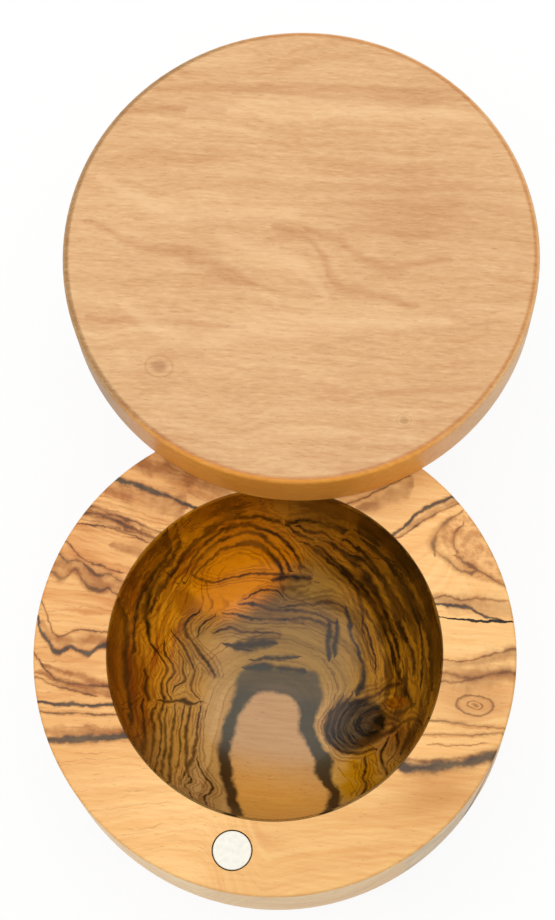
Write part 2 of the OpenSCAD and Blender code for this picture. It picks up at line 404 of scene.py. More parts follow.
# %% Strokes in the bowl
BOWL_ROWS = [
    # Pale tongue at the back left, with veins nested over it
    [(-22.6, 17.9, 0.4), (-20.5, 17.7, 0.35), (-18, 18.3, 0.3), (-14.5, 20.2, 0.3),
     (-10, 22.0, 0.3), (-4.5, 22.8, 0.4)],
    [(-22.6, 17.9, 0.4), (-20, 22.0, 0.45), (-17, 25.2, 0.4), (-14, 26.8, 0.35),
     (-10.5, 27.5, 0.55), (-7, 26.3, 0.8), (-4.8, 24.5, 0.9), (-3.8, 22.9, 0.6)],
    [(-24.4, 15.9, 0.4), (-22, 21.2, 0.55), (-19, 25.2, 0.5), (-15.5, 27.9, 0.4),
     (-10.5, 29.2, 0.45), (-7, 28.0, 0.6), (-4, 25.8, 0.7), (-2.3, 24.0, 0.7)],
    [(-25.6, 15.2, 0.4), (-23.4, 20.6, 0.6), (-20.5, 25.0, 0.55), (-16, 28.9, 0.45),
     (-10.5, 30.4, 0.4), (-6, 29.9, 0.45), (-2.5, 28.0, 0.6), (0, 25.2, 0.7)],
    [(-27.5, 16.0, 0.5), (-25, 21.0, 0.7), (-21.5, 25.6, 0.6), (-16.5, 29.8, 0.5),
     (-10.5, 31.9, 0.35), (-6, 32.1, 0.25)],
    [(-5.8, 21.5, 0.5), (-3.5, 22.3, 0.8), (-0.8, 23.0, 0.9), (2.4, 23.4, 0.5)],
    # Wedge at the back
    [(-4.2, 32.4, 0.4), (-1, 33.2, 0.35), (3, 33.3, 0.4), (8, 32.6, 0.4)],
    [(-4.2, 32.3, 0.4), (-2, 31.1, 0.4), (1, 30.6, 0.35)],
    [(-1.8, 32.3, 0.3), (0.5, 31.8, 0.35), (3.5, 32.2, 0.3), (6, 31.2, 0.3)],
    # Arches over the middle
    [(-15, 12.1, 0.3), (-13, 12.6, 0.4), (-10, 12.4, 0.4), (-6, 12.8, 0.4), (-1, 14.1, 0.4),
     (5, 14.9, 0.4), (8.2, 14.5, 0.5)],
    [(-12, 15.0, 0.35), (-9.5, 15.6, 0.5), (-5, 15.3, 0.5), (0, 16.1, 0.5), (5, 16.3, 0.4),
     (9.6, 15.2, 0.45)],
    [(-3, 16.2, 0.3), (0, 17.2, 0.4), (4, 18.4, 0.5), (8, 19.3, 0.5), (11, 18.7, 0.4)],
    [(-11, 16.3, 0.2), (-9, 18.2, 0.25), (-6, 19.5, 0.3), (-3.4, 19.0, 0.3), (-2.4, 17.9, 0.25)],
    [(-16, 7.7, 0.3), (-14.5, 8.7, 0.4), (-12.5, 9.3, 0.4), (-10, 9.2, 0.35), (-6.5, 10.0, 0.3),
     (-2, 10.3, 0.25)],
    # Smudge where the left veins kink
    [(-24.4, -10.3, 0.25), (-22.4, -10.1, 0.45), (-21, -9.4, 0.55), (-19.3, -8.9, 0.85),
     (-18, -9.1, 0.5), (-15.8, -8.0, 0.25)],
    # Loops to the right of the dark swirl
    [(16.5, -1.8, 0.6), (19.5, -0.3, 0.6), (22, 1.2, 0.55), (24, 2.9, 0.55), (26, 3.8, 0.8)],
    [(23.6, -0.6, 0.3), (25, -2.3, 0.45), (27, -2.9, 0.55), (28.8, -2.2, 0.7), (29.9, -0.4, 0.7)],
    [(20, -4.3, 0.45), (22, -2.9, 0.6), (24, -2.8, 0.55), (26, -3.9, 0.45), (27.8, -4.4, 0.3)],
    [(19, -6.1, 0.35), (21, -5.3, 0.35), (24, -6.6, 0.4)],
    [(20, -10.4, 1.2), (23.5, -9.0, 1.1), (26, -7.2, 0.8), (28.2, -5.4, 0.6), (30.3, -3.7, 0.5),
     (32, -4.6, 0.45), (33.4, -7, 0.4)],
    [(13.2, -9.6, 0.4), (15.5, -11.9, 0.5), (18, -12.6, 0.45), (21, -12.3, 0.5), (24, -11.1, 0.4)],
]
BOWL_COLUMNS = [
    # Left wall
    [(-24.0, 22.4, 0.4), (-26.6, 18.0, 0.5), (-28.3, 14.0, 0.5), (-29.3, 11.0, 0.5),
     (-30.0, 8.0, 0.4)],
    [(-26.0, 22.0, 0.4), (-28.0, 18.0, 0.55), (-29.9, 14.0, 0.7), (-30.8, 10.0, 0.9),
     (-30.8, 7.0, 0.9), (-30.0, 4.0, 0.7), (-29.0, 1.5, 0.5), (-27.6, -0.2, 0.35)],
    [(-27.5, 20.4, 0.4), (-30.0, 15.5, 0.5), (-31.8, 11.0, 0.5), (-32.5, 6.5, 0.5),
     (-32.3, 2.5, 0.4), (-31.4, -2.0, 0.4)],
    [(-33.9, 4.0, 0.5), (-33.2, -1.5, 0.7), (-32.2, -6.0, 0.8), (-30.8, -10.5, 0.7),
     (-29.4, -14.0, 0.5), (-28, -18, 0.5)],
    [(-28.8, -4.6, 0.3), (-27.8, -6.5, 0.5), (-27.6, -9.0, 0.7), (-26.4, -10.8, 0.6)],
    # Veins over the smudge
    [(-20.4, 11.2, 0.3), (-21.8, 9.5, 0.4), (-22.5, 7.5, 0.45), (-22.0, 5.6, 0.5),
     (-19.4, 3.6, 0.6), (-17.2, 1.7, 0.7), (-15.6, 0.0, 0.6), (-14.2, -1.6, 0.4)],
    [(-16.8, 11.0, 0.3), (-18.6, 9.3, 0.35), (-19.5, 7.6, 0.3), (-19.7, 6.0, 0.2)],
    [(-25.0, 5.3, 0.3), (-23.2, 4.0, 0.45), (-21.6, 2.4, 0.5), (-19.9, 0.2, 0.4),
     (-18.6, -1.8, 0.4), (-18.8, -4.0, 0.4), (-18.6, -5.6, 0.4), (-17.3, -7.2, 0.35),
     (-15.9, -8.1, 0.3)],
    [(-26.2, 1.8, 0.3), (-25.2, 0.0, 0.35), (-23.6, -1.4, 0.4), (-22.7, -3.4, 0.35),
     (-23.4, -6.0, 0.35), (-23.2, -8.0, 0.35), (-22.0, -9.4, 0.4)],
    [(-29.2, 1.6, 0.4), (-27.8, 0.2, 0.4), (-25.6, -1.2, 0.4), (-24.2, -3.4, 0.4),
     (-24.6, -6.0, 0.4), (-24.5, -8.2, 0.4), (-23.4, -9.8, 0.4)],
    [(-22.8, 1.6, 0.25), (-21.8, 0.0, 0.3), (-21.2, -2.4, 0.3), (-20.1, -4.6, 0.35),
     (-21.6, -6.2, 0.3), (-22.0, -7.6, 0.2)],
    # Veins under the smudge
    [(-15.6, -9.6, 0.25), (-15.2, -15.0, 0.35), (-15.0, -18.0, 0.4), (-14.5, -20.6, 0.5),
     (-14.8, -23.0, 0.5), (-15.2, -25.5, 0.3)],
    [(-17.9, -10.0, 0.3), (-17.6, -14.0, 0.45), (-16.9, -17.5, 0.5), (-16.1, -20.5, 0.5),
     (-15.4, -23.0, 0.5), (-14.2, -25.2, 0.4)],
    [(-13.7, -21.2, 0.25), (-12.3, -22.9, 0.4), (-10.7, -24.9, 0.45), (-9.0, -26.7, 0.45),
     (-8.8, -28.0, 0.4), (-9.8, -29.4, 0.4), (-8.8, -31.6, 0.35)],
    [(-14.6, -24.6, 0.3), (-13.5, -25.7, 0.4), (-13.4, -26.8, 0.4), (-14.2, -27.8, 0.35),
     (-13.0, -29.3, 0.35), (-11.2, -31.4, 0.3)],
    [(-21.0, -10.4, 0.2), (-20.6, -13.0, 0.3), (-20.1, -16.0, 0.4), (-19.6, -19.0, 0.5),
     (-19.2, -22.0, 0.5), (-18.5, -25.0, 0.5), (-17.4, -28.0, 0.45), (-15.6, -30.6, 0.3)],
    [(-22.6, -12.0, 0.25), (-22.5, -14.0, 0.3), (-21.5, -16.6, 0.4), (-20.9, -19.0, 0.4),
     (-20.3, -22.0, 0.35), (-19.9, -25.0, 0.4), (-18.7, -28.6, 0.35)],
    [(-23.4, -10.6, 0.3), (-23.6, -13.4, 0.4), (-22.5, -16.4, 0.4), (-21.9, -19.0, 0.3),
     (-21.3, -22.0, 0.3), (-20.9, -26.6, 0.3)],
    [(-24.8, -11.4, 0.25), (-24.9, -14.0, 0.35), (-23.9, -17.0, 0.4), (-23.1, -20.0, 0.35),
     (-22.3, -24.8, 0.3)],
    [(-27.4, -11.4, 0.35), (-26.9, -14.0, 0.45), (-25.9, -17.0, 0.5), (-24.9, -20.0, 0.6),
     (-24.0, -24.0, 0.6)],
    [(-19.1, -10.2, 0.2), (-18.9, -13.0, 0.25), (-18.4, -16.5, 0.25), (-17.8, -20.0, 0.25),
     (-17.0, -24.0, 0.3)],
    # Dark swirl and the squiggles in front of it
    [(14.8, -0.6, 0.3), (13.6, -3.4, 0.35), (12.3, -6.2, 0.35), (12.0, -7.8, 0.35),
     (12.9, -9.4, 0.4)],
    [(16.5, 0.4, 0.4), (14.9, -3.0, 0.45), (13.7, -6.2, 0.35), (14.1, -8.8, 0.4)],
    [(26.8, 5.0, 0.9), (27.5, 3.0, 1.2), (28.9, 0.8, 0.9), (29.9, -1.2, 0.7)],
    [(29.8, -4.6, 0.3), (30.3, -8.0, 0.5), (29.8, -11.6, 0.4)],
    [(26.3, -8.4, 0.3), (25.7, -12.0, 0.5), (26.3, -14.6, 0.5), (27.6, -17.0, 0.5)],
    [(28.0, -7.2, 0.3), (28.5, -11.0, 0.4), (27.0, -14.4, 0.3)],
    [(22.1, -13.2, 0.3), (22.7, -16.0, 0.4), (22.7, -18.4, 0.4), (23.7, -20.0, 0.45),
     (23.2, -22.4, 0.5)],
]
BOWL_CIRCLES = [
    [(4, 30.8, 0.25), (9, 29.3, 0.3), (14, 27.6, 0.35), (18, 24.9, 0.35), (22, 21.4, 0.3),
     (24.5, 17.6, 0.25)],
    [(13, 31.0, 0.3), (19, 27.2, 0.35), (23.6, 23.0, 0.4), (26.6, 18.8, 0.4), (28.8, 14.2, 0.4),
     (30.2, 9.4, 0.35), (30.8, 4.0, 0.3)],
    [(17, 28.9, 0.3), (21.4, 26.6, 0.35), (25.8, 22.6, 0.4), (29.6, 17.0, 0.4), (31.6, 11.6, 0.4),
     (32.4, 6.0, 0.3)],
    [(18.4, 18.0, 0.3), (21.0, 14.2, 0.35), (23.0, 11.0, 0.35), (24.2, 7.8, 0.3)],
    [(16.2, 15.6, 0.25), (18.4, 12.4, 0.3), (19.8, 9.4, 0.25), (20.4, 6.4, 0.2)],
    # The bundle that sweeps round the back and down the right wall
    [(0.5, 29.8, 0.35), (4, 28.2, 0.45), (8, 26.2, 0.5), (11.6, 24.1, 0.65), (13.9, 21.2, 0.65),
     (15.1, 18.0, 0.45), (15.8, 14.5, 0.3)],
    [(3, 29.6, 0.4), (6.5, 27.8, 0.5), (10, 25.7, 0.6), (14, 23.4, 0.7), (17, 20.2, 0.8),
     (19.6, 16.6, 0.7), (22, 13.0, 0.6), (24, 9.5, 0.5), (25.3, 6.5, 0.5), (27, 4.0, 0.6)],
    [(6, 30.4, 0.4), (10, 28.4, 0.5), (12.7, 26.8, 0.9), (15.6, 24.4, 1.0), (18.4, 21.4, 0.7),
     (20.6, 17.8, 0.7), (23, 14.0, 0.6), (25, 10.0, 0.4)],
    [(9, 31.2, 0.4), (13, 29.2, 0.5), (17, 26.4, 0.7), (20.5, 22.2, 0.9), (22.6, 18.6, 0.9),
     (25, 14.6, 0.5), (27.5, 11.0, 0.5), (28.8, 7.0, 0.4)],
    [(15, 30.2, 0.4), (18.5, 28.0, 0.6), (22, 25.0, 0.7), (25.5, 21.0, 0.7), (28.5, 17.0, 0.7),
     (30.8, 13.0, 0.6), (32.2, 8.5, 0.5), (33.2, 3.5, 0.5)],
    [(12, 32.0, 0.4), (17, 29.9, 0.4), (23, 25.8, 0.5), (27.6, 20.6, 0.5)],
]
BOWL_GREY_ROWS = [
    [(-11.4, 5.7, 0.4), (-9, 6.4, 1.2), (-7, 7.1, 1.5), (-5, 7.8, 1.2), (-2.6, 8.4, 0.4)],
    [(-13.5, 5.5, 0.3), (-11, 5.3, 0.4), (-8, 5.6, 0.4)],
    [(-7, 3.6, 0.4), (-4, 4.6, 0.7), (0, 5.6, 0.6), (3, 6.4, 0.3)],
    [(-8, 1.6, 0.5), (-5, 2.6, 0.9), (0, 3.2, 0.8), (5, 3.4, 0.5)],
]
BOWL_GREY_COLUMNS = [
    [(8.4, 14.6, 0.5), (8.9, 12.5, 0.6), (9.0, 10.5, 0.7), (9.3, 9.0, 0.8), (10.0, 7.0, 0.4)],
    [(9.9, 15.2, 0.5), (10.7, 12.8, 0.6), (10.5, 10.4, 0.7), (11.0, 8.4, 0.5)],
    [(11.3, 18.4, 0.4), (12.8, 15.5, 0.6), (14.0, 12.5, 0.5), (15.6, 10.6, 0.5), (16.8, 8.4, 0.5),
     (18.0, 5.8, 0.6), (18.5, 3.4, 0.7), (17.6, 1.0, 0.9)],
]
SWIRL = (18.3, -6.3)  # middle of the dark swirl, seen from above
print(len(BOWL_ROWS) + len(BOWL_COLUMNS) + len(BOWL_CIRCLES), "veins in the bowl")

# %% [markdown]
# ## Rings under the veins
# A tree ring cut at a low angle shows as a wandering line. Under the drawn veins lies a second, faint
# figure of such rings. It is one number, the level, that grows from ring to ring. On the rim it
# follows y. In the bowl it grows outwards from an arch, as the rings of a branch do. A level makes
# hundreds of lines that never cross, which no list of strokes could.


# %% Levels of the base
def wavering(bench, x, y, z):
    """The place on the wood with a wobble on two scales, so that no line is smooth."""
    spot = bench.join(x, y, z)
    other = bench.join(z + 40.0, x, y)
    quick_x, quick_y = (bench.noise(s, 0.2, 3.0, 0.6) - 0.5 for s in (spot, other))
    fine_x, fine_y = (bench.noise(s, 0.85, 2.0, 0.6) - 0.5 for s in (spot, other))
    return x + quick_x * 1.6 + fine_x * 0.6, y + quick_y * 1.6 + fine_y * 0.6


def rim_rings(bench, x, y):
    """Rings on the rim: they fan out from left to right and swell round the burl and the eye."""
    slow = bench.noise(bench.join(x, y, 0.0), 0.045, 2.0) - 0.5
    left = y - (0.05 - y * 0.0075) * (x + 34.0)
    right = y - (0.16 - y * 0.004) * (x - 34.0)
    right = right - bench.hill(x, y, (37.0, 28.0), 9.0, 7.0, -35.0) * 12.0
    right = right + bench.hill(x, y, (42.5, -2.5), 4.2, 3.0, 10.0) * 4.0
    side = bench.smooth(x, -8.0, 8.0)
    return left * (1 - side) + right * side + slow * 4.0


def bowl_rings(bench, x, y):
    """Rings in the bowl: arches round the horseshoe, swollen round the tongue and the swirl."""
    below = bench.high(-10.0 - y, 0.0)
    arch_x = (x - 0.5 - below * 0.37) / (1.0 + below * 0.03)
    arch = bench.length(arch_x, bench.high(y + 8.5, 0.0))
    tongue = bench.hill(x, y, (-13.0, 23.0), 13.0, 5.5, 24.0)
    swirl = bench.hill(x, y, SWIRL, 8.0, 6.0, 15.0)
    return arch - tongue * 11.0 + swirl * 9.0


def ring_lines(bench, level, x, waver):
    """Faint thin lines where the level crosses even steps, strong in some places and gone in others."""
    drift = bench.noise(bench.join(x * 0.05, level * 0.35, 0.0), 1.0, 3.0, 0.6)
    step = bench.math("PINGPONG", level * 0.9 + drift * 3.0 + waver, 0.5)
    return bench.smooth(step, 0.16, 0.02) * bench.smooth(drift, 0.45, 0.65)


print("recipes for levels:", rim_rings.__name__, "and", bowl_rings.__name__)

# %% [markdown]
# ## The spot that is painted
# Every mark on the base asks the same things of the point that it paints: where it is, how far
# below the rim, where the wobble moves it, how dark the veins' ink is there. They are worked out
# once, so that all marks share them. The veins lean as they run down into the block, so the side
# shows them at a slant, as a real block does.

# %% Spots on the base
VEIN_LEAN = 0.35  # how far back the veins move for each millimetre down the side


class Spot:
    """The point that is painted, with the wobble and the noise that all marks share."""

    def __init__(self, bench):
        self.x, self.y, self.z = bench.place()
        self.drop = rim_height - self.z
        self.wx, self.wy = wavering(bench, self.x, self.y, self.z)
        self.ry = self.wy + self.drop * VEIN_LEAN
        self.waver = bench.noise(bench.join(self.x, self.y, self.z), 0.35, 2.0, 0.5) - 0.5
        stain = bench.noise(bench.join(self.y, self.z, self.x), 0.14, 3.0, 0.6)
        self.ink = bench.smooth(stain, 0.34, 0.62)


print(f"the veins lean {math.degrees(math.atan(VEIN_LEAN)):.0f} degrees off the upright")

# %% [markdown]
# ## Colours of the rim
# The rim is honey-coloured sapwood, browner and more orange on the left. A burl at the back right is
# mottled. The outer side is painted paler than the rim, most towards the front: a painted glow of the
# white room on the steep side. The front of the rim is painted a little darker, as painted shade where
# the lamp lights it most. The colours are laid as paint is, from the ground up: a wide blend first and
# small patches last.


# %% Colours of the rim
def rim_colour(bench, spot, level, grain, wall):
    """Honey sapwood, darker and more orange on the left, with brown clouds between the veins."""
    x, y, drop = spot.wx, spot.ry, spot.drop
    left = bench.smooth(x + abs(y) * 0.3, 2.0, -34.0)
    colour = bench.blend(grain, paint("ECB56E"), paint("F5C682"))
    colour = bench.blend(left * 0.5, colour, paint("DC9C58"))
    # Painted light: the outer side is painted paler, most towards the front, as a glow of the white
    # room.
    pale = bench.blend(grain, paint("F8D49C"), paint("FFE6B4"))
    colour = bench.blend(wall * (0.3 + bench.smooth(y, 0.0, -30.0) * 0.5), colour, pale)
    cloud = bench.noise(bench.join(x * 0.03, level * 0.22, drop * 0.02), 1.0, 3.0, 0.6)
    cloud = bench.smooth(cloud, 0.48, 0.64) * (0.15 + left * 0.5 * bench.smooth(y, -26.0, -18.0))
    colour = bench.tint(cloud, colour, paint("DCB890"))
    round_eye = bench.hill(x, y, (42.0, -1.6), 11.0, 5.0, 4.0)
    colour = bench.tint(round_eye * 0.7, colour, paint("D4C0B0"))
    front_right = bench.hill(x, y, (38.0, -22.0), 9.0, 5.0, 30.0)
    colour = bench.tint(front_right * 0.8, colour, paint("DCC4A8"))
    # Painted shade: the front of the rim is darkened a little, where the lamp lights it most.
    front = bench.smooth(y - x * 0.4, -24.0, -40.0) * bench.smooth(x, -14.0, 8.0)
    colour = bench.tint(front * 0.6, colour, paint("E8DECC"))
    burl = bench.smooth(bench.hill(x, y, (37.5, 30.0), 9.5, 6.2, -28.0), 0.36, 0.46)
    fleck = bench.noise(bench.join(x, y, drop), 0.45, 4.0, 0.65)
    mottle = bench.blend(bench.smooth(fleck, 0.36, 0.62), paint("B87A40"), paint("E6AE6C"))
    return bench.blend(burl * 0.8, colour, mottle)


print("recipe for the rim's ground:", rim_colour.__name__)

# %% [markdown]
# ## Marks on the rim
# Each vein is painted three times: a wide brown haze, a soft halo and a dark core. That is how the
# oily stain of a real vein fades into the wood. The ink noise makes the core come and go. A small
# pin knot on the right, the eye, is two rings cut out of a hill's height.


# %% Marks on the rim
def eye_rings(bench, x, y):
    """Two rings of a small knot on the right of the rim."""
    eye = bench.hill(x, y, (42.5, -2.5), 3.8, 2.0, 6.0)
    outer = bench.smooth(abs(eye - 0.36), 0.1, 0.02) + bench.smooth(abs(eye - 0.46), 0.1, 0.0) * 0.4
    inner = bench.smooth(abs(eye - 0.86), 0.05, 0.01) + bench.smooth(eye, 0.95, 0.99) * 0.8
    return outer + inner


def rim_wood(bench, spot, level, grain, rings):
    """The rim and the outer side: colours first, then rings, haze, halo and core of the veins."""
    x, wx, wy, ry, drop = spot.x, spot.wx, spot.wy, spot.ry, spot.drop
    waver, ink = spot.waver, spot.ink
    on_rows, on_columns = rows(wx, ry), columns(wx, ry)
    brown = strokes(bench, [(on_rows, RIM_BROWN + RIM_BURL_ROWS), (on_columns, RIM_BURL_COLUMNS)])
    grey = strokes(bench, [(on_rows, RIM_GREY)])
    bands = strokes(bench, [(on_rows, RIM_BANDS)])

    wall = bench.smooth(drop, 0.3, 1.2)
    colour = rim_colour(bench, spot, level, grain, wall)
    patch = bench.smooth(bench.hill(wx, wy, (41.0, -28.5), 11.0, 5.0, 57.0) + waver * 0.3, 0.3, 0.6)
    weathered = bench.blend(ink, paint("A89C7C"), paint("D8C8A4"))
    colour = bench.blend(patch * wall * 0.6, colour, weathered)
    faint = rings * (bench.smooth(x, 20.0, -30.0) * 0.5 + wall * 0.3)
    colour = bench.tint(faint, colour, paint("B89A78"))
    comb = bench.math("PINGPONG", ry * 0.9 + wx * 0.06 + waver * 1.4, 0.5)
    comb = bench.smooth(comb, 0.3, 0.02) * bench.hill(wx, ry, (-38.0, 21.0), 12.0, 3.6, -8.0)
    colour = bench.tint(comb * (0.3 + ink * 0.6), colour, paint("9C8468"))

    haze = bench.blend(bench.smooth(x, -5.0, 15.0), paint("B89A78"), paint("C4B4A8"))
    colour = bench.tint(bench.smooth(bands + waver * 2.4, 1.6, 0.0) * (0.5 + ink * 0.5), colour, haze)
    colour = bench.tint(bench.smooth(brown + waver, 3.0, 0.5) * 0.6, colour, paint("C8AC88"))
    colour = bench.tint(bench.smooth(grey + waver, 2.0, 0.5) * 0.7, colour, paint("B09878"))
    strength = (0.5 + ink * 0.4) * (1 - bench.smooth(x, 20.0, 34.0) * 0.3)
    core = bench.smooth(brown + waver * 2.4, 1.1, 0.0) * strength
    colour = bench.blend(core, colour, paint("54341A"))
    core = bench.smooth(grey + waver * 1.6, 1.2, 0.3) * 0.9
    colour = bench.blend(core, colour, bench.blend(ink, paint("5A4A36"), paint("38302A")))
    eye = eye_rings(bench, wx, wy) * bench.smooth(drop, 4.0, 1.0) * 0.7
    return bench.blend(eye, colour, paint("7A4A1E"))


print("recipes for the rim:", eye_rings.__name__, "and", rim_wood.__name__)

# %% [markdown]
# ## Colours of the bowl
# The heartwood in the bowl is orange at the back left, olive at the right and tan in the middle, and
# inside the dark horseshoe the wood is plain and pink. The steep left wall is painted dark amber:
# partly oil soaked into the wood, partly painted shade and orange bounce light in the hollow. Patches
# that are placed one by one put each colour where it belongs, and noise swept round the wall streaks
# it.


# %% Colours of the bowl
def bowl_colour(bench, spot, grain, shoe):
    """Orange at the back left, olive at the right, tan in the middle and pink in the horseshoe."""
    x, y, drop = spot.wx, spot.wy, spot.drop
    angle = bench.math("ARCTAN2", abs(x), y)
    sweep = bench.join(bench.length(x, y) * 0.8, angle * 2.0, drop * 0.05)
    sweep = bench.noise(sweep, 1.0, 3.0, 0.6)
    patch = bench.noise(bench.join(x * 0.16, y * 0.16, drop * 0.1), 1.0, 3.0, 0.6)

    # Middle, front and left
    colour = bench.blend(grain, paint("8E6A22"), paint("AE8638"))
    front = bench.smooth(y, 4.0, -8.0)
    colour = bench.blend(front * 0.85, colour, bench.blend(grain, paint("BE9250"), paint("D2A664")))
    left = bench.smooth(x, -13.0, -18.0) * bench.smooth(y, 2.0, -6.0)
    colour = bench.blend(left * 0.7, colour, paint("D8A040"))
    under_tongue = bench.hill(x, y, (-6.0, 17.0), 6.0, 4.0)
    colour = bench.tint(under_tongue * 0.7, colour, paint("B8A078"))
    middle_left = bench.hill(x, y, (-16.0, 4.0), 6.0, 5.0)
    colour = bench.blend(middle_left * 0.6, colour, paint("E0AC5C"))

    # Orange back and the left wall
    back = bench.hill(x, y, (-14.0, 22.0), 17.0, 12.0, 20.0)
    back = bench.smooth(back, 0.2, 0.7) * bench.smooth(x * 0.77 - y * 0.63, -14.0, -19.0)
    colour = bench.blend(back, colour, bench.blend(patch, paint("FFA008"), paint("F09408")))
    # Painted shade and bounce light: the steep left wall is painted dark amber, partly for the oil in
    # the wood and partly as the hollow's shade and orange bounce light.
    left_wall = bench.smooth(x - y * 0.1, -19.0, -27.0)
    amber_and_shade = bench.blend(bench.smooth(y, 12.0, 24.0), paint("C86C00"), paint("AC6000"))
    amber_and_shade = bench.blend(bench.smooth(sweep, 0.32, 0.54), amber_and_shade, paint("FFAC10"))
    colour = bench.blend(left_wall * 0.85, colour, amber_and_shade)
    low_wall = bench.smooth(x + y * 0.25, -25.0, -31.0) * bench.smooth(y, 4.0, -5.0)
    colour = bench.tint(low_wall * 0.8, colour, paint("A88850"))

    # Olive right wall and ochre in front of it
    right_wall = bench.smooth(x + y * 0.55, 14.0, 27.0)
    olive = bench.blend(bench.smooth(sweep, 0.38, 0.6), paint("6A4200"), paint("BE8414"))
    colour = bench.blend(right_wall * 0.9, colour, olive)
    back_edge = bench.hill(x, y, (5.0, 30.0), 14.0, 5.0)
    colour = bench.blend(back_edge * 0.6, colour, paint("C88010"))
    front_right = bench.hill(x, y, (23.0, -17.0), 9.0, 6.5, 50.0)
    ochre = bench.blend(bench.smooth(patch, 0.4, 0.6), paint("C4943C"), paint("B88008"))
    colour = bench.blend(bench.smooth(front_right, 0.2, 0.7), colour, ochre)
    lens = bench.smooth(bench.hill(x, y, (26.5, -0.4), 3.0, 2.0), 0.4, 0.7)
    colour = bench.blend(lens, colour, paint("965A06"))

    # Inside of the horseshoe, and a dark cloud on the left
    sole = bench.blend(bench.smooth(y, -14.0, -27.0), paint("C49A68"), paint("DA9E48"))
    colour = bench.blend(bench.smooth(shoe, 0.0, -1.5), colour, sole)
    cloud = bench.smooth(bench.hill(x, y, (-23.6, 12.2), 3.6, 3.2), 0.3, 0.8)
    return bench.blend(cloud * 0.7, colour, paint("A85C04"))


print("recipe for the bowl's ground:", bowl_colour.__name__)

# %% [markdown]
# ## Marks in the bowl
# The darkest marks are a horseshoe that arches over the front and a swirl to its right, where a
# branch once grew. The horseshoe's two inner edges are drawn as curves, and the distance outwards
# from them makes its band. Round each drawn vein run two echoes, the thin parallel lines that real
# veins have: they are drawn where the distance from the nearest stroke has a set value.

# %% Marks in the bowl
SHOE_LEFT = [(-31.8, -1.8), (-29.5, -3.6), (-26, -5.2), (-22, -7.0), (-18, -8.4), (-13, -8.5),
             (-8, -7.9), (-4, -7.0), (1, -6.2)]
SHOE_RIGHT = [(-27.5, 17.0), (-25.5, 17.6), (-23, 17.6), (-21, 16.0), (-18.5, 13.9), (-15, 13.0),
              (-12.4, 10.6), (-9, 8.1), (-4, 7.4), (1, 6.2)]


def horseshoe(bench, x, y):
    """The distance outwards from the band that arches over the front. Its edges are (y, x) points."""
    left, right = (
        bench.curve(share(y), [(share(py), share(px)) for py, px in edge], "AUTO_CLAMPED")
        * (2 * REACH) - REACH
        for edge in (SHOE_LEFT, SHOE_RIGHT)
    )
    outside = bench.high(left - x, x - right)
    sockets = {0: outside, 1: y - 0.3, 2: 6.0}
    return bench.node("ShaderNodeMath", {"operation": "SMOOTH_MAX"}, sockets)


def bowl_wood(bench, spot, level, grain, rings):
    """The bowl: colours first, then rings, smudges, horseshoe, swirl and veins with their echoes."""
    x, y, wx, wy = spot.x, spot.y, spot.wx, spot.wy
    waver, ink = spot.waver, spot.ink
    in_rows, in_columns, in_circles = rows(wx, wy), columns(wx, wy), circles(wx, wy)
    veins = [(in_rows, BOWL_ROWS), (in_columns, BOWL_COLUMNS), (in_circles, BOWL_CIRCLES)]
    dark = strokes(bench, veins)
    smear = strokes(bench, [(in_rows, BOWL_GREY_ROWS), (in_columns, BOWL_GREY_COLUMNS)])
    shoe = horseshoe(bench, wx, wy)
    low_left = bench.hill(wx, wy, (-20.0, -17.0), 9.0, 12.0)
    back_right = bench.hill(wx, wy, (10.0, 14.5), 7.0, 5.0)
    faded = bench.high(back_right, bench.hill(wx, wy, (-20.0, 25.0), 9.0, 6.0))

    colour = bowl_colour(bench, spot, grain, shoe)
    colour = bench.tint(rings * bench.smooth(shoe, 1.0, 4.0) * 0.7, colour, paint("8A5A20"))
    halo = bench.smooth(dark + waver, 3.0, 0.6) * (0.35 - low_left * 0.1)
    colour = bench.tint(halo, colour, paint("A87C30"))
    smudge = bench.smooth(smear + waver * 2.0, 1.8, 0.1) * 0.95
    colour = bench.blend(smudge, colour, paint("2E2414"))

    # Horseshoe: broadest at the top of its arch and along its right leg
    right_leg = bench.smooth(x, 3.0, 8.0) * bench.smooth(y, -24.0, -16.0)
    half_band = 1.45 + bench.smooth(y, -6.0, -1.0) * 1.3 + right_leg * 0.6
    band = bench.smooth(abs(shoe) + waver * 1.8 - half_band, 0.7, -0.7)
    band = band * (0.94 - bench.smooth(y, -5.0, 0.0) * 0.14)
    black = bench.blend(bench.smooth(y, -12.0, -24.0), paint("36382C"), paint("321E08"))
    colour = bench.blend(band, colour, black)

    # Swirl
    shade = bench.hill(wx, wy, (28.5, -9.0), 5.0, 5.0)
    colour = bench.tint(shade * 0.7, colour, paint("B89868"))
    swirl = bench.hill(wx, wy, SWIRL, 7.4, 6.2, 20.0) + waver * 0.25
    lines = bench.noise(bench.join(level * 0.9, wx * 0.15, wy * 0.1), 1.0, 3.0, 0.65)
    swirl = bench.smooth(swirl, 0.3, 0.5) * (0.8 + bench.smooth(lines, 0.6, 0.4) * 0.2)
    colour = bench.blend(swirl, colour, paint("1C1404"))

    # Echoes and cores of the drawn veins
    echo = bench.smooth(abs(dark - 2.6) + waver, 0.8, 0.1) * (0.5 - faded * 0.25)
    colour = bench.tint(echo, colour, paint("86541C"))
    echo = bench.smooth(abs(dark - 4.6) + waver * 1.5, 0.9, 0.1) * (0.4 - faded * 0.25)
    colour = bench.tint(echo, colour, paint("86541C"))
    pen = bench.blend(bench.low(ink + low_left * 0.4, 1.0), paint("50300A"), paint("201002"))
    pen = bench.blend(low_left, pen, paint("3C2406"))
    strength = 0.7 + ink * 0.25 - low_left * 0.1 - faded * 0.2
    return bench.blend(bench.smooth(dark + waver * 1.6, 1.4, 0.1) * strength, colour, pen)


print(f"the swirl lies {math.hypot(*SWIRL):.1f} mm from the bowl's middle")

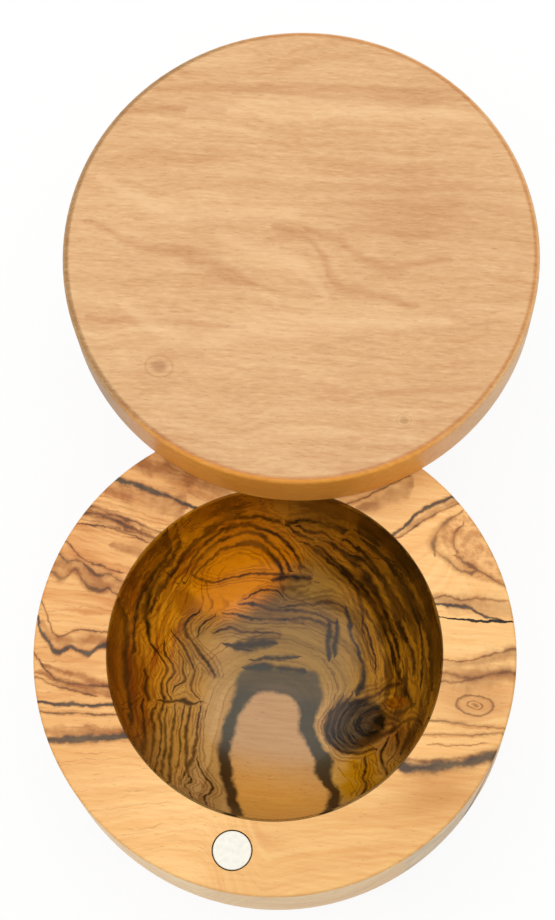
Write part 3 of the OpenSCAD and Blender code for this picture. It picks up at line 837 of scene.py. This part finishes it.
# %% [markdown]
# ## The base: figured heartwood
# The bowl and the rim meet in one material, because the real base is one block. The bowl is sanded
# finer and oiled more, so it is glossier. Its mesh is made of short straight cuts, which would band
# the reflections: the true curve's distance from them goes into the bump, and evens them out.

# %% Wood of the base
FLOOR_RADIUS = 60.0
CORNER_RADIUS = 22.0
BOWL_DEPTH = 38.0
BOWL_RADIUS = 34.3
CORNER_OUT = BOWL_RADIUS - CORNER_RADIUS
FLOOR_CENTRE = rim_height - BOWL_DEPTH + FLOOR_RADIUS
CORNER_CENTRE = FLOOR_CENTRE - math.sqrt((FLOOR_RADIUS - CORNER_RADIUS) ** 2 - CORNER_OUT**2)


def turned_curve(bench, x, y, z):
    """How far the true curve of the bowl lies from its short straight cuts, in millimetres."""
    out = bench.length(x, y)
    floor_off = bench.length(out, z - FLOOR_CENTRE) - FLOOR_RADIUS
    corner_off = bench.length(out - CORNER_OUT, z - CORNER_CENTRE) - CORNER_RADIUS
    corner_start = CORNER_OUT * FLOOR_RADIUS / (FLOOR_RADIUS - CORNER_RADIUS)
    corner = bench.math("GREATER_THAN", out, corner_start)
    return floor_off * (1 - corner) + corner_off * corner


def base_wood():
    """Rim and bowl in one material, with fibres and pores over both."""
    bench = Bench("olive_heartwood")
    spot = Spot(bench)
    x, y, z, drop = spot.x, spot.y, spot.z, spot.drop
    inside = bench.smooth(bench.length(x, y), BOWL_RADIUS + 0.6, BOWL_RADIUS + 0.4)
    inside = inside * bench.smooth(drop, BOWL_DEPTH + 6.0, BOWL_DEPTH + 4.0)
    rim_level = rim_rings(bench, spot.wx, spot.ry)
    bowl_level = bowl_rings(bench, spot.wx, spot.wy)
    level = rim_level * (1 - inside) + bowl_level * inside
    rings = ring_lines(bench, level, x, spot.waver)
    grain = bench.noise(bench.join(x * 0.03, level * 0.8, z * 0.03), 1.0, 4.0, 0.7)
    grain = bench.smooth(grain, 0.3, 0.7)
    rim = rim_wood(bench, spot, rim_level, grain, rings)
    bowl = bowl_wood(bench, spot, bowl_level, grain, rings)

    streak = fibres(bench, x, y, z, 0.1)
    crack = bench.smooth(strokes(bench, [(rows(spot.wx, spot.wy), RIM_CRACK)]), 1.2, 0.6)
    crack = crack * (1 - inside) * bench.smooth(drop, 16.0, 5.0)
    colour = bench.blend(inside, rim, bowl)
    colour = bench.tint(bench.smooth(streak, 0.35, 0.7) * 0.22, colour, paint("D8A878"))
    colour = bench.tint(pores(bench, x, y, z, 0.1) * 0.35, colour, paint("8A5A30"))
    colour = bench.blend(crack, colour, paint("1A0E06"))
    roughness = 0.42 - inside * 0.26 + streak * 0.06
    relief = streak * 0.015 - crack * 0.3 + turned_curve(bench, x, y, z) * inside
    return bench.finish(colour, roughness, relief, 1.0, {"Specular IOR Level": 0.24})


dress("base", base_wood())

# %% [markdown]
# ## Growth lines on the lid
# The lid was cut from the pale outer wood of the same tree. It has no dark veins, only soft growth
# lines that wander over its top. The clearest of them are drawn with the same strokes as the veins,
# in millimetres from the lid's middle: some darker than the wood, some paler.

# %% Strokes on the lid
LID_DARK = [
    [(-38, 29.4, 0.5), (-27, 32.5, 0.7), (-17, 34.2, 0.8), (-7, 36.0, 0.8), (4, 38.0, 0.7),
     (18, 40.2, 0.7), (28, 42.0, 0.5)],
    [(-29, 31.2, 0.4), (-19, 33.0, 0.5), (-4, 34.9, 0.6), (8, 36.6, 0.5), (20, 38.6, 0.6),
     (28, 40.6, 0.4)],
    [(-44, 22.8, 0.5), (-34, 25.8, 0.7), (-22, 28.0, 0.5)],
    [(-7, 4.0, 0.6), (1, 3.0, 0.8), (5.5, -1.0, 1.0), (8, -4.4, 1.0), (12, -6.0, 0.9),
     (18, -6.6, 0.8), (26, -7.0, 0.5)],
    [(0, 5.0, 0.5), (8, 3.6, 0.8), (12, 1.0, 0.9), (18, 0.0, 0.8), (24, 2.0, 0.7), (31, 4.2, 0.5)],
    [(-45, -2.0, 0.5), (-34, -5.4, 0.8), (-24, -5.0, 1.2), (-14, -7.6, 1.6), (-8, -9.4, 0.8)],
    [(-41, -23.2, 0.5), (-32, -22.0, 0.7), (-19, -20.2, 0.6), (-8, -18.6, 0.4)],
    [(22, -27.4, 0.4), (28, -25.6, 0.7), (37, -23.2, 0.8), (44, -21.2, 0.5)],
]
LID_PALE = [
    [(-45, 8.0, 0.8), (-36, 4.4, 1.2), (-26, 3.0, 1.4), (-14, 5.6, 1.2), (-2, 8.0, 0.8)],
    [(-18, 0.6, 0.8), (-10, -1.2, 1.4), (-2, -1.8, 1.6), (3, -5.2, 1.4), (7, -8.6, 0.8)],
    [(-34, -19.0, 0.8), (-19, -24.0, 1.8), (-6, -17.6, 2.0), (6, -14.6, 1.6), (20, -11.8, 1.2),
     (33, -9.4, 0.8)],
    [(-30, 26.0, 0.8), (-14, 30.6, 1.4), (4, 33.6, 1.6), (24, 36.0, 1.4), (36, 37.0, 0.8)],
]
print(len(LID_DARK), "dark and", len(LID_PALE), "pale growth lines on the lid")

# %% [markdown]
# ## The lid: plain sapwood
# Noise that is stretched along the grain makes the ground, and two pin knots push it aside. The
# turned side is painted paler than the top, a painted glow of the white room, and grey-green at the
# left, a painted reflection of the white floor. Where it faces the bowl it is deep amber: partly oil
# soaked into the end grain, partly painted orange bounce light and shade. A darker line along the top
# edge is painted shade. The drawn lines only darken or lighten the wood a little, because strong
# lines would look like dirt on so plain a board.


# %% Wood of the lid
def turned_side(bench, colour, growth, off_x, off_y):
    """The lid's side and top edge, with painted light and shade on them. Offsets are 1 at the lid's
    radius.
    """
    out = bench.length(off_x, off_y)
    side = bench.smooth(out, 0.98, 0.99)
    left = bench.smooth(off_x, -0.2, -0.7)
    amber_oil_and_bounce = bench.smooth(off_x * 0.17 - off_y * 0.98, 0.6, 0.92)
    # Painted light: the side is painted paler than the top, as a glow of the white room.
    colour = bench.blend(side * 0.5, colour, bench.blend(growth, paint("F0B870"), paint("FFD49A")))
    # Painted reflection: the left of the side is tinted grey-green, as the white floor mirrored in it.
    colour = bench.tint(side * left * 0.7, colour, paint("B8AC90"))
    # Deep amber where the side faces the bowl: partly oiled end grain, partly painted orange bounce
    # light and shade.
    colour = bench.blend(side * amber_oil_and_bounce * 0.92, colour, paint("F0A22E"))
    # Painted shade: a darker line along the rounded top edge, greyer at the left.
    edge = bench.smooth(out, 0.968, 0.978) * bench.smooth(out, 0.994, 0.984)
    return bench.tint(edge * 0.5, colour, bench.blend(left, paint("E0A850"), paint("8A7240")))


def lid_wood():
    """Pale, straight-grained wood with soft growth lines, flecks, pores and two pin knots."""
    bench = Bench("olive_sapwood")
    x, y, z = bench.place()
    spot = bench.join(x, y, z)
    slow = bench.noise(spot, 0.03, 2.0) - 0.5
    quick = bench.noise(spot, 0.2, 3.0) - 0.5
    knot_a = bench.hill(x, y, (-34.7, 51.0), 3.0, 2.4)
    knot_b = bench.hill(x, y, (17.1, 49.7), 1.8, 1.5)
    level = y - x * 0.15 + slow * 16.0 + quick * 1.2 + knot_a * 3.0 + knot_b * 2.0 + z * 0.4
    growth = bench.noise(bench.join(x * 0.012, level * 0.35, 0.0), 1.0, 5.0, 0.65)
    mottle = bench.noise(bench.join(x * 0.05, level * 0.12, 0.0), 1.0, 3.0, 0.6)
    streak = fibres(bench, x, y, z, 0.14)
    fleck = bench.noise(bench.join(x * 0.45, (y - x * 0.14) * 2.2, z * 2.2), 1.0, 3.0, 0.7)

    # Ground, side, grain and flecks
    out_x, out_y = x - lid_middle.x, y - lid_middle.y
    colour = bench.blend(bench.smooth(growth, 0.2, 0.8), paint("C8965E"), paint("DAAF7A"))
    colour = turned_side(bench, colour, growth, out_x / lid_radius, out_y / lid_radius)
    colour = bench.tint(bench.smooth(mottle, 0.45, 0.65) * 0.3, colour, paint("E8D0B4"))
    colour = bench.tint(bench.smooth(streak, 0.35, 0.75) * 0.3, colour, paint("D8B080"))
    colour = bench.blend(bench.smooth(fleck, 0.5, 0.75) * 0.3, colour, paint("F0C88C"))
    colour = bench.tint(bench.smooth(fleck, 0.5, 0.25) * 0.35, colour, paint("D0AC7C"))

    # Drawn growth lines, a soft cloud on the right, pores and knots
    line_x, line_y = out_x + quick * 3.0, out_y + quick * 2.0 + z * 0.3 - lid_top * 0.3
    dark = strokes(bench, [(rows(line_x, line_y), LID_DARK)])
    pale = strokes(bench, [(rows(line_x, line_y), LID_PALE)])
    colour = bench.tint(bench.smooth(dark, 2.4, 0.0) * (0.1 + growth * 0.6), colour, paint("D8B48A"))
    colour = bench.blend(bench.smooth(pale, 2.6, 0.0) * 0.25, colour, paint("EEC692"))
    cloud = bench.hill(out_x, out_y, (21.0, 14.0), 17.0, 9.0, 10.0)
    colour = bench.tint(cloud * 0.4, colour, paint("E2C8B0"))
    colour = bench.tint(pores(bench, x, y, z, 0.14) * 0.3, colour, paint("A87848"))
    centre = bench.high(bench.smooth(knot_a, 0.6, 0.95), bench.smooth(knot_b, 0.6, 0.95))
    rings = bench.smooth(abs(knot_a - 0.4), 0.12, 0.0) + bench.smooth(abs(knot_b - 0.5), 0.12, 0.0)
    colour = bench.tint((centre + rings * 0.5) * 0.45, colour, paint("B08A50"))
    return bench.finish(colour, 0.45 + streak * 0.08, streak, 0.02, {"Specular IOR Level": 0.5})


dress("lid", lid_wood())

# %% [markdown]
# ## Metal and nylon
# The magnets are nickel plated, the screw and its washer are steel, the insert is brass and the
# glide washer nylon. A plated or moulded part is never one flat tone: a soft cloud from the tumbling
# barrel or the mould varies its colour, gloss and relief a little. One recipe serves all metals.


# %% Metals and nylon
def metal(name, code, roughness, grain):
    """A metal with a cloudy gloss. A finer grain has a higher number."""
    bench = Bench(name)
    x, y, z = bench.place()
    cloud = bench.noise(bench.join(x, y, z), grain, 3.0)
    colour = bench.blend(cloud * 0.2, paint(code), paint("808080"))
    return bench.finish(colour, roughness + cloud * 0.1, cloud, 0.01, {"Metallic": 1.0})


def nylon():
    """Milky moulded nylon."""
    bench = Bench("milky_nylon")
    x, y, z = bench.place()
    cloud = bench.noise(bench.join(x, y, z), 2.0, 3.0)
    colour = bench.blend(cloud * 0.2, paint("ECE8DC"), paint("D8D2C0"))
    return bench.finish(colour, 0.4 + cloud * 0.1, cloud, 0.01, {})


nickel = metal("nickel_plate", "B6B3A9", 0.36, 1.0)
dress("base_magnet", nickel)
dress("lid_magnet", nickel)
steel = metal("zinc_steel", "C8CACC", 0.3, 2.0)
dress("pivot_screw", steel)
dress("head_washer", steel)
dress("lid_insert", metal("turned_brass", "D8B058", 0.3, 2.0))
dress("glide_washer", nylon())

# %% [markdown]
# ## Floor
# The box stands on a plain pale floor. A lit white sheet would turn grey in places, and more light
# would bleach the wood. So the camera, and whatever mirrors or refracts the floor, sees mostly an
# even white glow, and the rest is matt paper that keeps the soft shadow under the box. The floor
# lies a hair below the base, so that their two faces don't share one plane.

# %% Floor
FLOOR_SIZE = 6.0
FLOOR_DROP = 0.02 * MM
GLOW_SHARE = 0.9


def pale_floor():
    """A matt sheet that glows white to the camera, to mirrors and to glass."""
    bpy.ops.object.select_all(action="DESELECT")
    bpy.ops.mesh.primitive_plane_add(size=FLOOR_SIZE, location=(0, 0, -FLOOR_DROP))
    floor = bpy.context.object
    floor.name = "floor"
    bench = Bench("pale_floor")
    paper = bench.node("ShaderNodeBsdfDiffuse", {}, {"Color": (0.9, 0.9, 0.9, 1.0)})
    glow = bench.node("ShaderNodeEmission", {}, {"Color": (1.0, 1.0, 1.0, 1.0), "Strength": 1.0})
    camera, glossy, transmission = (
        bench.node("ShaderNodeLightPath", {}, {}, f"Is {kind} Ray")
        for kind in ("Camera", "Glossy", "Transmission")
    )
    seen = (camera + glossy + transmission) * GLOW_SHARE
    mixed = bench.node("ShaderNodeMixShader", {}, {0: seen, 1: paper, 2: glow})
    bench.node("ShaderNodeOutputMaterial", {}, {"Surface": mixed})
    floor.data.materials.append(bench.material)
    return floor


print("floor:", pale_floor().name)

# %% [markdown]
# ## Light
# A product studio lights such a box with one large softbox overhead, in a white room. The wide lamp
# gives the soft shadow and the broad sheen in the oiled bowl. The room's even light fills the bowl
# and the sides, at a level where a colour renders about as it is written.


# %% Lamps
def white_room(strength):
    world = bpy.data.worlds.new("white_room")
    world.use_nodes = True
    world.node_tree.nodes["Background"].inputs["Color"].default_value = (1.0, 1.0, 1.0, 1.0)
    world.node_tree.nodes["Background"].inputs["Strength"].default_value = strength
    bpy.context.scene.world = world


def soft_lamp(name, place, aim, width, length, power):
    lamp = bpy.data.lights.new(name, "AREA")
    lamp.shape = "RECTANGLE"
    lamp.size = width
    lamp.size_y = length
    lamp.energy = power
    holder = bpy.data.objects.new(name, lamp)
    bpy.context.scene.collection.objects.link(holder)
    holder.location = place
    holder.rotation_mode = "QUATERNION"
    holder.rotation_quaternion = (Vector(aim) - Vector(place)).to_track_quat("-Z", "Y")
    return holder


white_room(0.55)
softbox = soft_lamp(
    "overhead_softbox", place=(-0.1, 0.2, 1.05), aim=(-0.1, 0.2, 0.05), width=1.1, length=1.3, power=9.6
)
print(f"lamp: {softbox.name}, {softbox.data.energy:.1f} W")

# %% [markdown]
# ## Camera
# The camera looks down steeply from the front, a little from the right, and is rolled a few degrees.
# A long lens from half a metre away keeps the round shapes nearly round, as a product shot does.
# Its directions are built from three angles, which are easier to adjust than a matrix.


# %% Camera
def photo_camera(place, azimuth, elevation, roll, lens):
    """Place in millimetres, angles in degrees, lens in millimetres."""
    a, e, r = (math.radians(v) for v in (azimuth, elevation, roll))
    back = Vector((math.sin(a) * math.cos(e), -math.cos(a) * math.cos(e), math.sin(e)))
    level_right = Vector((math.cos(a), math.sin(a), 0.0))
    level_up = back.cross(level_right)
    right = math.cos(r) * level_right + math.sin(r) * level_up
    up = math.cos(r) * level_up - math.sin(r) * level_right
    camera = bpy.data.objects.new("camera", bpy.data.cameras.new("camera"))
    camera.data.lens = lens
    turn = Matrix((right, up, back)).transposed().to_4x4()
    camera.matrix_world = Matrix.Translation(Vector(place) * MM) @ turn
    bpy.context.scene.collection.objects.link(camera)
    bpy.context.scene.camera = camera
    return camera


camera = photo_camera((30.9, -83.2, 539.5), azimuth=17.41, elevation=75.19, roll=-5.70, lens=93.9)
bpy.context.scene.view_settings.view_transform = "Standard"
print("camera at", [round(part, 4) for part in camera.matrix_world.translation])

# %% [markdown]
